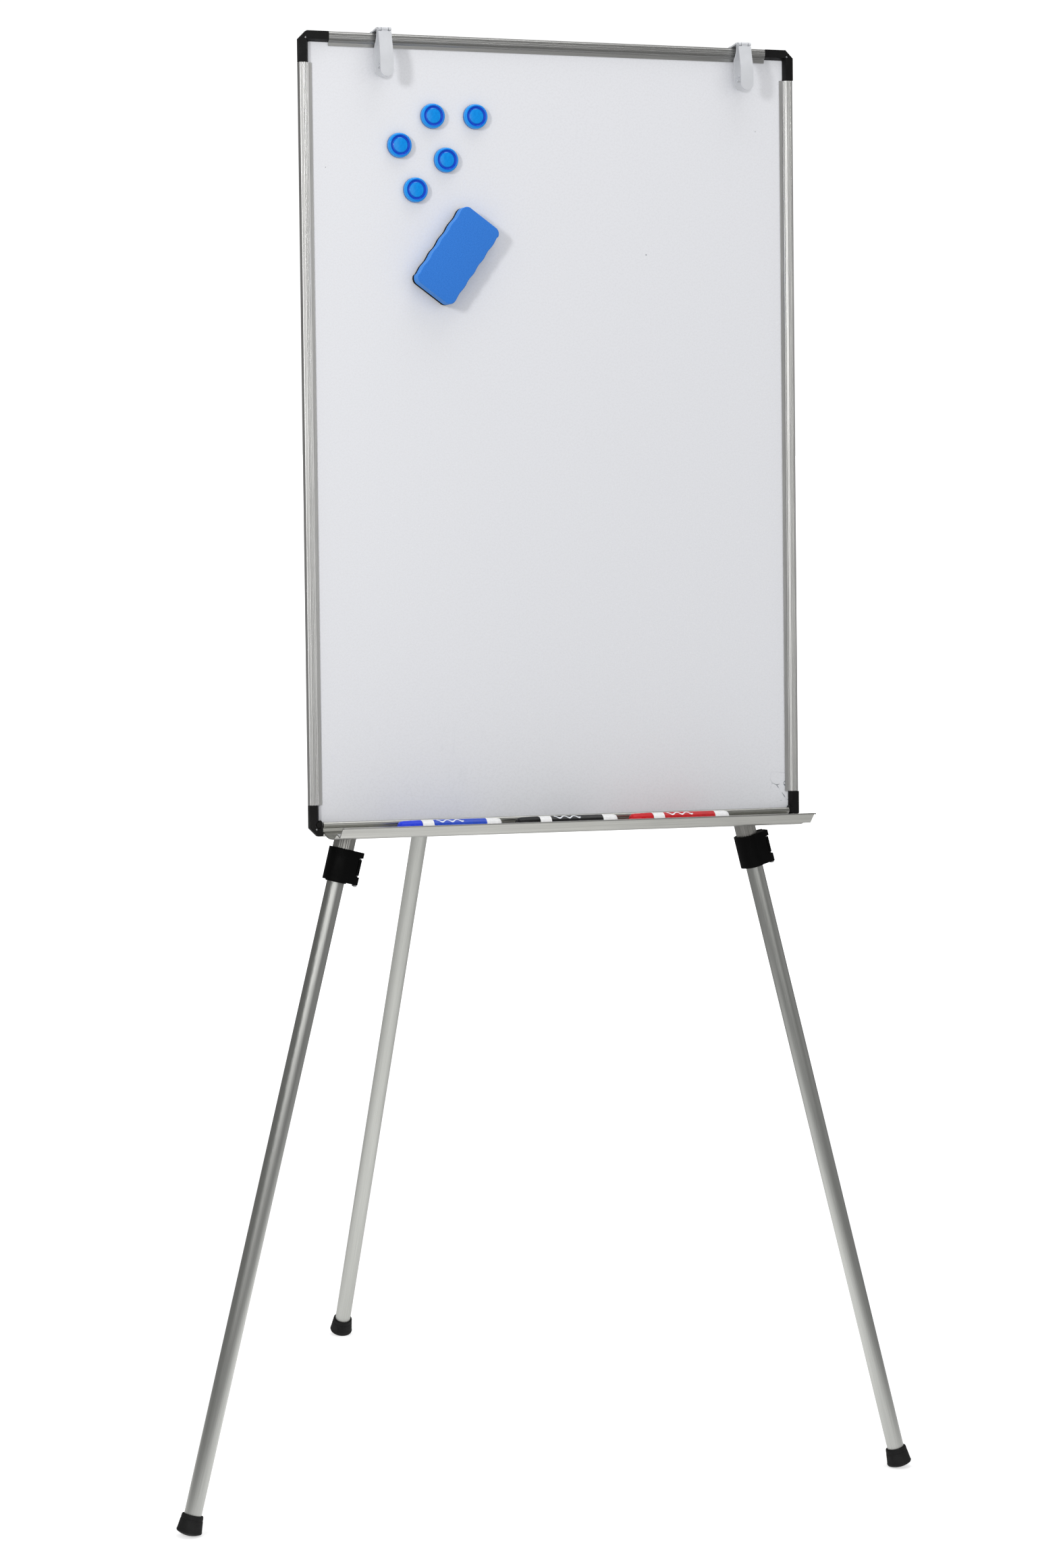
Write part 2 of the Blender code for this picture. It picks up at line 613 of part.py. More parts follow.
def build_hook_base(name, x):
    """Hook body: inner arm with a peg and a tooth, a strap over the rail and a lip behind it."""
    path = [
        (-0.0013, 0.8640), (-0.0013, 0.8974), (-0.0022, 0.8996), (-0.0056, 0.9030), (-0.0080, 0.9070),
        (-0.0094, 0.9115), (-0.0101, 0.9158), (-0.0096, 0.9180), (-0.0078, 0.9182), (0.0060, 0.9161),
        (0.0142, 0.9158), (0.0161, 0.9144), (0.0161, 0.9060),
    ]
    strap = prism(ribbon(path, 0.0018), -HOOK_HALF, HOOK_HALF, name, "X")
    cut = prism(rounded_end(HOOK_HALF, 0.8645, 0.93), -0.03, 0.03, "cut", "Y")
    strap = combine(strap, [cut], "INTERSECT")
    parts = []
    for low, high in ((-HOOK_HALF, -0.0046), (0.0046, HOOK_HALF)):
        knuckle = rod(0.0021, low, high, 14, "X")
        parts.append(moved(knuckle, (0.0, HOOK_HINGE[0], HOOK_HINGE[1])))
        link = [
            (HOOK_HINGE[0], HOOK_HINGE[1] - 0.0006), (-0.0100, 0.9166),
            (-0.0090, 0.9189), (HOOK_HINGE[0], HOOK_HINGE[1] + 0.0020),
        ]
        parts.append(prism(link, low, high, "link", "X"))
    parts.append(moved(rod(0.0011, -0.0040, -0.0012, 10, "Y"), (-0.0018, 0.0, 0.8806)))
    tooth = [(-0.0012, 0.8774), (-0.0060, 0.8762), (-0.0060, 0.8754), (-0.0012, 0.8730)]
    parts.append(prism(tooth, -0.0048, 0.0048, "tooth", "X"))
    strap = combine(strap, parts, "UNION")
    hole = moved(rod(0.0010, -0.02, 0.02, 10, "X"), (0.0, HOOK_HINGE[0], HOOK_HINGE[1]))
    strap = combine(strap, [hole], "DIFFERENCE")
    moved(strap, (0.0, 0.0, -BOARD_H))
    add(name, strap, BOARD @ Matrix.Translation((x, 0.0, BOARD_H)), GREY, True)


def build_hook_arm(name, x):
    """Front arm of a hook, hung by a neck from its knuckle, with a round lower end."""
    path = [
        (-0.0154, 0.9140), (-0.0172, 0.9050), (-0.0192, 0.8975), (-0.0208, 0.8905), (-0.0217, 0.8840),
        (-0.0219, 0.8620),
    ]
    arm = prism(ribbon(path, 0.0018), -HOOK_HALF, HOOK_HALF, name, "X")
    arm = combine(arm, [prism(rounded_end(HOOK_HALF, 0.8624, 0.93), -0.05, 0.03, "cut", "Y")], "INTERSECT")
    knuckle = moved(rod(0.0021, -0.0040, 0.0040, 14, "X"), (0.0, HOOK_HINGE[0], HOOK_HINGE[1]))
    neck = prism(ribbon([(-0.0148, 0.9160), (-0.0157, 0.9125)], 0.0012), -0.0036, 0.0036, "neck", "X")
    arm = combine(arm, [neck, knuckle], "UNION")
    hole = moved(rod(0.0010, -0.02, 0.02, 10, "X"), (0.0, HOOK_HINGE[0], HOOK_HINGE[1]))
    arm = combine(arm, [hole], "DIFFERENCE")
    moved(arm, (0.0, -HOOK_HINGE[0], -HOOK_HINGE[1]))
    add(name, arm, BOARD @ Matrix.Translation((x, *HOOK_HINGE)), GREY, True)


def build_hooks():
    """Two paper hooks that slide along the upper rail."""
    for label, x in zip(("left", "right"), HOOK_X):
        build_hook_base("hook_base_" + label, x)
        build_hook_arm("hook_arm_" + label, x)
        pin = rod(0.0008, -0.0074, 0.0074, 10, "X")
        frame = BOARD @ Matrix.Translation((x, *HOOK_HINGE))
        add("hook_pin_" + label, pin, frame, STEEL, True)


def build_magnets():
    """Five round magnets: a clear blue cap with a ring groove over a ferrite disc."""
    cap = [
        (0.0, 0.0064), (0.0085, 0.0064), (0.0091, 0.0055), (0.0103, 0.0055), (0.0110, 0.0066), (0.0127, 0.0066),
        (0.0138, 0.0058), (MAGNET_R, 0.0010), (MAGNET_R, 0.0), (0.0102, 0.0), (0.0102, 0.0043), (0.0, 0.0043),
    ]
    disc = [(0.0, 0.0), (0.0099, 0.0), (0.0099, 0.0040), (0.0, 0.0040)]
    cap_mesh = lathe([(r, -h) for r, h in cap], 20, "magnet_cap", "Y")
    disc_mesh = lathe([(r, -h) for r, h in disc], 16, "magnet_disc", "Y")
    for i, (x, z) in enumerate(MAGNETS):
        frame = BOARD @ Matrix.Translation((x, SHEET_FRONT - GAP, z))
        add("magnet_cap_%d" % (i + 1), cap_mesh, frame, MAGNET_BLUE, True)
        add("magnet_disc_%d" % (i + 1), disc_mesh, frame, FERRITE, True)


def eraser_outline():
    """Block with round corners and shallow waves along both long sides."""
    half_l = ERASER_LEN / 2.0
    half_w = ERASER_WID / 2.0
    corner = 0.0085
    side = []
    steps = 20
    for i in range(steps + 1):
        along = -half_l + corner + (ERASER_LEN - 2.0 * corner) * i / steps
        wave = 0.0009 * (1.0 - math.cos(2.0 * math.pi * 4.5 * i / steps)) / 2.0
        side.append((half_w - wave, along))
    right = side
    top = []
    for middle, start in ((half_w - corner, 0.0), (corner - half_w, math.pi / 2.0)):
        for i in range(5 if start else 6):
            angle = start + math.pi / 2.0 * i / 5.0
            if i or start:
                top.append((middle + corner * math.cos(angle), half_l - corner + corner * math.sin(angle)))
    first = right + top
    return first + [(-x, -z) for x, z in first]


def build_eraser():
    """Foam board wiper with a felt face against the board."""
    turn = Matrix.Rotation(ERASER_TURN, 4, "Y")
    frame = BOARD @ Matrix.Translation((ERASER_AT[0], SHEET_FRONT - GAP, ERASER_AT[1])) @ turn
    outline = eraser_outline()
    add("eraser_felt", prism(outline, -0.0050, 0.0, "eraser_felt", "Y"), frame, FELT)
    add("eraser_foam", prism(outline, -0.0200, -0.0053, "eraser_foam", "Y"), frame, FOAM_BLUE)


def build_marker(label, x):
    """Marker lying in the trough, with a push-on cap that has a clip."""
    frame = BOARD @ Matrix.Translation((x, -MARKER_AT[0], MARKER_AT[1]))
    radius = MARKER_R
    barrel = [
        (0.0, 0.0060), (0.0016, 0.0060), (0.0026, 0.0100), (0.0044, 0.0110), (0.0060, 0.0140), (0.0060, 0.0272),
        (radius - 0.0004, 0.0272), (radius, 0.0280), (radius, 0.1040), (radius - 0.0002, 0.1180),
        (radius - 0.0020, MARKER_LEN), (0.0, MARKER_LEN),
    ]
    add("marker_barrel_" + label, lathe(barrel, 18, "barrel", "X"), frame, PEN_WHITE, True)
    cap = [
        (0.0, 0.0), (radius - 0.0026, 0.0), (radius - 0.0006, 0.0030), (radius + 0.0001, 0.0262),
        (radius - 0.0001, 0.0268), (0.0064, 0.0268), (0.0064, 0.0042), (0.0, 0.0042),
    ]
    solid = lathe(cap, 18, "cap", "X")
    clip = [(-0.0034, 0.0086), (-0.0034, 0.0072), (0.0030, 0.0060), (0.0050, 0.0070), (0.0240, 0.0092)]
    clip += [(0.0240, 0.0104), (0.0040, 0.0098)]
    bar = prism(clip, -0.0026, 0.0026, "clip", "Y")
    bar.transform(Matrix.Rotation(math.radians(82.0), 4, "X"))
    add("marker_cap_" + label, combine(solid, [bar], "UNION"), frame, CAP_LOOKS[label], True)


def build_markers():
    """Three markers side by side in the tray."""
    for label, x in zip(MARKER_NAMES, MARKER_X):
        build_marker(label, x)


clear_scene()
build_panel()
build_rails()
build_corner_caps()
build_tray()
build_head_bracket()
build_pivot_pins()
build_leg_clips()
build_legs()
build_hooks()
build_magnets()
build_eraser()
build_markers()
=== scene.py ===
"""Looks of a flipchart easel: finer pieces, finishes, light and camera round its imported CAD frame."""

import json
import math

import bmesh
import bpy
from mathutils import Matrix, Vector


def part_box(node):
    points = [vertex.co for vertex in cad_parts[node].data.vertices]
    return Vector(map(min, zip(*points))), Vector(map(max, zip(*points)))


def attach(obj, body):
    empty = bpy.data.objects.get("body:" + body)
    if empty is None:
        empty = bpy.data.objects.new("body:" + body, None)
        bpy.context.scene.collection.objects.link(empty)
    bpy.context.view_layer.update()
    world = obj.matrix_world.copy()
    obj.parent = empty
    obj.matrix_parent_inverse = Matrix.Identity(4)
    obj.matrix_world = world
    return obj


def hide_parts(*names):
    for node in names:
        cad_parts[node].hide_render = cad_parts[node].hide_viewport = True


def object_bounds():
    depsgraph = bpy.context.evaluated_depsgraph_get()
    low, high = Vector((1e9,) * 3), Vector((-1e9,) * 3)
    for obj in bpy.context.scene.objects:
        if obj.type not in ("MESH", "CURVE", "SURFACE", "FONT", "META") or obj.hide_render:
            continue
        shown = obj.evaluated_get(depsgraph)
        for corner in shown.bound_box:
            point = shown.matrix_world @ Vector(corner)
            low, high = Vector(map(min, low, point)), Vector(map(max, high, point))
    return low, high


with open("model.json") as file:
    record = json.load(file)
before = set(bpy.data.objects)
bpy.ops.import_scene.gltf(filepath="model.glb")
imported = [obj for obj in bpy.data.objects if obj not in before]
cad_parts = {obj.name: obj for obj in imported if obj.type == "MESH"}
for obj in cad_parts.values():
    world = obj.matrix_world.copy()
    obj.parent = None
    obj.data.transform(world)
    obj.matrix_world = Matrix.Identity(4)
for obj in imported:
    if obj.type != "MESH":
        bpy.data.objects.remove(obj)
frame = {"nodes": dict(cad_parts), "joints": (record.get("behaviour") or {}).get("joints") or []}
cad_low, cad_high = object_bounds()
JOINTS = {joint["name"]: joint for joint in frame["joints"]}

# Sizes that the finer pieces share with the CAD model, in metres.
TUBE_R = 0.0102
TUBE_BORE = 0.0090
TUBE_TOP = 0.8000
FOOT_H = 0.0245
FOOT_DOME = 0.0283
FOOT_SOCKET = 0.0162
FOOT_BORE = 0.0104
FOOT_RIM = 0.0151
SOLE_FLAT = 0.0004
CLAMP_S = 0.8836
CLAMP_PIN = (0.0208, -0.0070)
CLAMP_HALF = 0.0191
PIVOT_AT = Vector((-0.0425, 0.0390, 0.8210))
BOARD_W = 0.612
BOARD_H = 0.914
MAGNET_R = 0.0145
MARKER_R = 0.0085
MARKER_LEN = 0.1240
CAP_LEN = 0.0268
MARKER_DEPTH = 0.0305
MARKER_RISE = 0.0085
CLIP_OVERHANG = 0.0034
SHEET_FRONT = 0.0055
FACE_GAP = 0.0003
ERASER_LEN = 0.1070
ERASER_WID = 0.0540
ERASER_CORNER = 0.0085
ERASER_TURN = math.radians(35.8)
FELT_DEPTH = 0.0050
FOAM_START = 0.0053
FOAM_END = 0.0200

# Edges sharper than SHARP_ANGLE stay sharp in the shading and take the bevel.
SHARP_ANGLE = math.radians(38.0)
FLAT_ANGLE = math.radians(0.4)
WELD_DISTANCE = 0.000003

# The view, in world metres and radians; the lens and the sensor's height are in millimetres.
CAMERA_TURN = math.radians(20.8103)
CAMERA_PITCH = math.radians(-6.4113)
CAMERA_ROLL = math.radians(0.7550)
CAMERA_AT = Vector((-1.65572, -4.62713, 1.36600))
FOCAL_LENGTH = 90.40
SENSOR = 36.0

LEGS = ("left", "right", "rear")
PENS = ("blue", "black", "red")


def board_matrix():
    """Frame of the board: X to the right, Y into the board and Z up along it."""
    outward = Vector(JOINTS["eraser_off"]["axis"])
    up = Vector(JOINTS["marker_lift_blue"]["axis"])
    axes = Matrix((Vector((1.0, 0.0, 0.0)), -outward, up)).transposed()
    origin = Vector(JOINTS["leg_fold_left"]["pos_m"]) - axes @ PIVOT_AT
    return Matrix.Translation(origin) @ axes.to_4x4()


BOARD = board_matrix()


def leg_matrix(label):
    """Frame of a leg with its origin on the pivot and Z up the tube."""
    up = Vector(JOINTS["leg_slide_" + label]["axis"]).normalized()
    across = Vector((1.0, 0.0, 0.0))
    if label != "rear":
        across = BOARD.col[1].to_3d().cross(up).normalized()
    axes = Matrix((across, up.cross(across), up)).transposed()
    return Matrix.Translation(JOINTS["leg_fold_" + label]["pos_m"]) @ axes.to_4x4()


LEG = {label: leg_matrix(label) for label in LEGS}


def foot_apex(label):
    """Distance down a leg from its pivot to the lowest point of its foot's axis."""
    matrix = LEG[label]
    return (matrix.translation.z - FOOT_DOME + SOLE_FLAT) / matrix.col[2].z + FOOT_DOME


def on_board(x, depth, height):
    """Frame parallel to the board's, moved to a point on it."""
    return BOARD @ Matrix.Translation((x, depth, height))


def shade(red, green, blue):
    """Linear colour from display values between 0 and 255."""
    def linear(value):
        share = value / 255.0
        return share / 12.92 if share <= 0.04045 else ((share + 0.055) / 1.055) ** 2.4
    return (linear(red), linear(green), linear(blue))


class Look:
    """A Principled material that is put together one texture step at a time."""

    def __init__(self, name, colour, roughness, metallic=0.0, matrix=None):
        self.made = bpy.data.materials.new(name)
        self.made.use_nodes = True
        self.tree = self.made.node_tree
        self.shader = self.tree.nodes["Principled BSDF"]
        self.colour = (*colour, 1.0)
        self.back = (matrix or Matrix.Identity(4)).inverted()
        self.set("Base Color", self.colour)
        self.set("Roughness", roughness)
        self.set("Metallic", metallic)

    def set(self, socket, value):
        """Give one of the shader's own sockets a value or a link."""
        self.feed(self.shader.inputs[socket], value)

    def feed(self, socket, value):
        """Give a socket a fixed value, or link another socket to it."""
        if isinstance(value, bpy.types.NodeSocket):
            self.tree.links.new(value, socket)
        else:
            socket.default_value = value

    def node(self, kind, inputs, **settings):
        """Add a node, change its settings and feed its inputs."""
        made = self.tree.nodes.new("ShaderNode" + kind)
        for key, value in settings.items():
            setattr(made, key, value)
        for key, value in inputs.items():
            self.feed(made.inputs[key], value)
        return made

    def at(self, scale=(1.0, 1.0, 1.0)):
        """Position in the material's own frame, scaled along each axis."""
        place = self.node("TexCoord", {}).outputs["Object"]
        turn = {"Vector": place, "Location": self.back.translation, "Rotation": self.back.to_euler()}
        turned = self.node("Mapping", turn).outputs[0]
        return self.node("VectorMath", {0: turned, 1: scale}, operation="MULTIPLY").outputs[0]

    def axis(self, index, scale=(1.0, 1.0, 1.0)):
        """One coordinate of the position in the material's own frame."""
        return self.node("SeparateXYZ", {0: self.at(scale)}).outputs[index]

    def noise(self, place, scale, detail=3.0, roughness=0.55, warp=0.0):
        """Fractal noise between 0 and 1."""
        inputs = {"Vector": place, "Scale": scale, "Detail": detail, "Roughness": roughness}
        inputs["Distortion"] = warp
        return self.node("TexNoise", inputs).outputs[0]

    def cells(self, place, scale, feature="F1"):
        """Distance inside a pattern of random cells."""
        return self.node("TexVoronoi", {"Vector": place, "Scale": scale}, feature=feature).outputs[0]

    def fade(self, value, start, end, low=0.0, high=1.0):
        """Smooth step from low to high as the value goes from start to end."""
        inputs = {"Value": value, "From Min": start, "From Max": end, "To Min": low, "To Max": high}
        return self.node("MapRange", inputs, interpolation_type="SMOOTHSTEP").outputs[0]

    def maths(self, operation, first, second=0.0):
        """Arithmetic on two values."""
        return self.node("Math", {0: first, 1: second}, operation=operation).outputs[0]

    def mix(self, share, first, second):
        """Blend of two colours."""
        def as_colour(value):
            return (*value, 1.0) if isinstance(value, tuple) and len(value) == 3 else value
        inputs = {0: share, 6: as_colour(first), 7: as_colour(second)}
        return self.node("Mix", inputs, data_type="RGBA").outputs[2]

    def relief(self, height, distance, strength=1.0):
        """Add a bump on top of those that the shader already has."""
        bump = self.node("Bump", {"Height": height, "Distance": distance, "Strength": strength})
        before = self.shader.inputs["Normal"].links
        if before:
            self.feed(bump.inputs["Normal"], before[0].from_socket)
        self.set("Normal", bump.outputs[0])

    def tones(self, place, scale, amount):
        """Base colour that wanders down to a darker tone."""
        darker = tuple(channel * (1.0 - amount) for channel in self.colour[:3])
        share = self.fade(self.noise(place, scale), 0.35, 0.65)
        self.set("Base Color", self.mix(share, self.colour, darker))

    def gloss(self, place, scale, low, high):
        """Roughness that wanders between two values."""
        self.set("Roughness", self.fade(self.noise(place, scale, 4.0), 0.3, 0.7, low, high))


def moulded(name, colour, roughness, grain=1400.0, depth=0.00006, specular=0.5, tone=0.25):
    """Moulded plastic or rubber: fine grain, faint flow marks and uneven gloss."""
    look = Look(name, colour, roughness)
    place = look.at()
    look.tones(place, 55.0, tone)
    look.gloss(place, 90.0, roughness - 0.08, roughness + 0.12)
    look.set("Specular IOR Level", specular)
    look.relief(look.noise(place, grain, 2.0), depth)
    look.relief(look.noise(place, 60.0, 2.0), depth * 2.0, 0.4)
    return look.made


def stretched(across, lengthways, along):
    """Texture scale that is one value across an axis and another along it."""
    scale = [across, across, across]
    scale[along] = lengthways
    return tuple(scale)


def brushed(name, colour, roughness, along, matrix=None, metallic=1.0, tone=0.14):
    """Drawn aluminium: streaks and fine lines that run along one axis, with scattered dull patches."""
    look = Look(name, colour, roughness, metallic, matrix)
    lines = look.noise(look.at(stretched(1600.0, 12.0, along)), 1.0, 3.0)
    bands = look.noise(look.at(stretched(120.0, 2.5, along)), 1.0, 2.0)
    patches = look.noise(look.at(), 14.0, 4.0)
    darker = tuple(channel * (1.0 - tone) for channel in colour)
    lighter = tuple(min(1.0, channel * (1.0 + tone * 0.5)) for channel in colour)
    toned = look.mix(look.fade(lines, 0.3, 0.7), darker, lighter)
    toned = look.mix(look.fade(patches, 0.55, 0.8, 0.0, 0.35), toned, darker)
    look.set("Base Color", toned)
    dull = look.fade(bands, 0.3, 0.7, roughness - 0.04, roughness + 0.05)
    look.set("Roughness", look.maths("ADD", dull, look.fade(patches, 0.5, 0.8, 0.0, 0.06)))
    look.relief(lines, 0.000008)
    return look.made


def enamel():
    """White writing surface: slight gloss, ink haze, scuffs, hair cracks by one corner and a few specks."""
    look = Look("white_enamel", shade(231, 232, 236), 0.26, 0.0, BOARD)
    place = look.at()
    haze = look.noise(look.at((5.0, 1.0, 2.2)), 1.0, 3.0, 0.5)
    base = look.mix(look.fade(haze, 0.10, 0.90, 0.0, 0.20), look.colour[:3], shade(226, 228, 233))
    peel = look.noise(place, 420.0, 3.0, 0.6)
    base = look.mix(look.fade(peel, 0.25, 0.75, 0.0, 0.25), base, shade(224, 226, 231))
    across = look.axis(0)
    height = look.axis(2)
    low_left = look.maths("MULTIPLY", look.fade(across, -0.02, -0.16), look.fade(height, 0.22, 0.06))
    scuff = look.noise(look.at((60.0, 1.0, 18.0)), 1.0, 5.0, 0.62, 1.6)
    scuff = look.maths("MULTIPLY", look.fade(scuff, 0.56, 0.78), low_left)
    base = look.mix(look.maths("MULTIPLY", scuff, 0.28), base, shade(206, 209, 214))
    corner = look.maths("MULTIPLY", look.fade(across, 0.268, 0.280), look.fade(height, 0.062, 0.048))
    bent = look.noise(place, 90.0, 3.0)
    hair = look.cells(look.at((1.0, 0.0, 1.0)), 62.0, "DISTANCE_TO_EDGE")
    hair = look.maths("MULTIPLY", look.fade(hair, 0.035, 0.010), look.fade(bent, 0.40, 0.52))
    base = look.mix(look.maths("MULTIPLY", hair, corner), base, shade(120, 125, 132))
    speck = look.cells(look.at((1.0, 0.0, 1.0)), 34.0)
    rare = look.fade(look.noise(place, 17.0, 2.0), 0.62, 0.66)
    base = look.mix(look.maths("MULTIPLY", look.fade(speck, 0.035, 0.015), rare), base, shade(110, 112, 118))
    look.set("Base Color", base)
    look.set("Roughness", look.fade(peel, 0.2, 0.8, 0.24, 0.32))
    look.relief(look.noise(place, 260.0, 2.0), 0.00002, 0.5)
    return look.made


def fibre():
    """Pressed fibre core, seen only at the panel's edge."""
    look = Look("fibre_core", shade(150, 120, 88), 0.9, 0.0, BOARD)
    look.tones(look.at((1.0, 6.0, 1.0)), 700.0, 0.45)
    look.relief(look.noise(look.at(), 1500.0), 0.0001)
    return look.made


def zinc():
    """Galvanised backing sheet: crystal spangle, faint roller lines and uneven gloss."""
    look = Look("zinc_sheet", shade(176, 180, 184), 0.42, 0.6, BOARD)
    flake = look.node("TexVoronoi", {"Vector": look.at((1.0, 0.2, 1.0)), "Scale": 85.0}).outputs["Color"]
    tone = look.node("SeparateColor", {0: flake}).outputs[0]
    roll = look.noise(look.at((3.0, 1.0, 160.0)), 1.0, 3.0)
    base = look.mix(look.fade(tone, 0.0, 1.0, 0.0, 0.5), look.colour[:3], shade(146, 151, 157))
    base = look.mix(look.fade(roll, 0.45, 0.75, 0.0, 0.4), base, shade(200, 203, 206))
    look.set("Base Color", base)
    look.set("Roughness", look.fade(tone, 0.0, 1.0, 0.34, 0.52))
    look.relief(roll, 0.00003)
    return look.made


def magnet_blue():
    """Clear blue cap: a bright rim, a groove coloured deep blue as painted shade, a mid blue centre and a
    dark line of painted shade round its base.
    """
    look = Look("magnet_blue", shade(0, 140, 226), 0.10)
    radial = look.node("VectorMath", {0: look.at((1.0, 0.0, 1.0))}, operation="LENGTH").outputs["Value"]
    # Painted shade: the groove between these radii, a recess, is coloured deep blue.
    groove_shade_in = look.fade(radial, MAGNET_R * 0.55, MAGNET_R * 0.62)
    groove_shade_out = look.fade(radial, MAGNET_R * 0.90, MAGNET_R * 0.74)
    mottle = look.noise(look.at(), 500.0, 3.0)
    centre = look.mix(look.fade(mottle, 0.35, 0.65), shade(0, 134, 224), shade(0, 146, 234))
    # Painted shade: the side wall is coloured darker towards its base, where it meets the board.
    rim = look.mix(look.fade(look.axis(1), -0.0034, -0.0010), shade(10, 150, 238), shade(2, 84, 160))
    base = look.mix(groove_shade_in, centre, shade(0, 70, 200))
    base = look.mix(look.maths("SUBTRACT", 1.0, groove_shade_out), base, rim)
    look.set("Base Color", base)
    look.set("Roughness", look.fade(mottle, 0.3, 0.7, 0.08, 0.14))
    look.set("Specular IOR Level", 0.45)
    look.relief(mottle, 0.00002, 0.4)
    return look.made


def foam():
    """Closed-cell foam: fine open pores, soft mottling and a dry surface."""
    look = Look("foam_blue", shade(58, 128, 214), 0.85)
    place = look.at()
    pores = look.cells(place, 1500.0)
    mottle = look.noise(place, 700.0, 4.0, 0.65)
    base = look.mix(look.fade(mottle, 0.3, 0.7), shade(38, 114, 206), shade(50, 126, 218))
    # Painted shade: the pores are coloured darker inside; their bump below is real.
    base = look.mix(look.fade(pores, 0.30, 0.05, 0.0, 0.5), base, shade(26, 88, 176))
    # Painted light: the block's sides, the faces turned away from the front, are coloured lighter.
    facing = look.node("SeparateXYZ", {0: look.node("TexCoord", {}).outputs["Normal"]}).outputs[1]
    painted_side_light = look.fade(look.maths("ABSOLUTE", facing), 0.85, 0.40)
    base = look.mix(painted_side_light, base, shade(64, 140, 226))
    look.set("Base Color", base)
    look.set("Specular IOR Level", 0.25)
    look.set("Sheen Weight", 0.05)
    look.relief(pores, 0.00012, 0.7)
    look.relief(mottle, 0.00006, 0.5)
    return look.made


def felt():
    """Pressed black felt: tangled fibres and a dusty bloom."""
    look = Look("black_felt", shade(22, 22, 24), 0.95)
    strands = look.noise(look.at((1.0, 5.0, 1.0)), 900.0, 5.0, 0.7, 1.2)
    base = look.mix(look.fade(strands, 0.45, 0.75), look.colour[:3], shade(52, 54, 60))
    look.set("Base Color", base)
    look.set("Specular IOR Level", 0.1)
    look.relief(strands, 0.0003)
    return look.made


def pen_body(label, ink):
    """White pen barrel with a coloured sleeve that carries plain wavy and round marks."""
    look = Look("pen_white_" + label, shade(238, 238, 238), 0.32)
    along = look.axis(0)
    start = look.fade(along, 0.0408, 0.0410)
    end = look.fade(along, 0.1052, 0.1050)
    sleeve = look.maths("MULTIPLY", start, end)
    mottle = look.noise(look.at(), 300.0, 3.0)
    colour = look.mix(look.fade(mottle, 0.35, 0.65), tuple(c * 0.86 for c in ink), ink)
    turn = look.maths("ARCTAN2", look.axis(1), look.axis(2))
    wave = look.maths("SINE", look.maths("MULTIPLY", along, 520.0))
    swing = look.maths("ADD", turn, look.maths("MULTIPLY", wave, 0.22))
    band = look.maths("ABSOLUTE", look.maths("ADD", swing, 0.55))
    band = look.maths("MULTIPLY", look.fade(band, 0.16, 0.10), look.fade(along, 0.044, 0.046))
    band = look.maths("MULTIPLY", band, look.fade(along, 0.078, 0.076))
    line = look.maths("ABSOLUTE", look.maths("ADD", turn, -0.35))
    line = look.maths("MULTIPLY", look.fade(line, 0.05, 0.03), look.fade(along, 0.050, 0.052))
    line = look.maths("MULTIPLY", line, look.fade(along, 0.098, 0.096))
    mark = look.maths("MAXIMUM", band, line)
    colour = look.mix(mark, colour, shade(226, 230, 236))
    body = look.mix(look.fade(mottle, 0.4, 0.7), shade(240, 240, 240), shade(229, 230, 231))
    tip = look.fade(along, 0.0112, 0.0108)
    body = look.mix(tip, body, tuple(c * 0.6 for c in ink))
    look.set("Base Color", look.mix(sleeve, body, colour))
    gloss = look.fade(mottle, 0.3, 0.7, 0.28, 0.38)
    look.set("Roughness", look.maths("ADD", gloss, look.maths("MULTIPLY", tip, 0.5)))
    look.relief(mottle, 0.00003, 0.5)
    return look.made


def floor_white():
    """Pale studio floor with the faintest mottling, which shines more with distance."""
    look = Look("studio_floor", (0.60, 0.60, 0.60), 0.9)
    look.tones(look.at(), 1.5, 0.01)
    far = look.node("VectorMath", {0: look.at()}, operation="LENGTH").outputs["Value"]
    look.set("Specular IOR Level", 0.0)
    look.set("Emission Color", (1.0, 1.0, 1.0, 1.0))
    look.set("Emission Strength", look.fade(far, 1.2, 4.0, 0.60, 1.0))
    return look.made


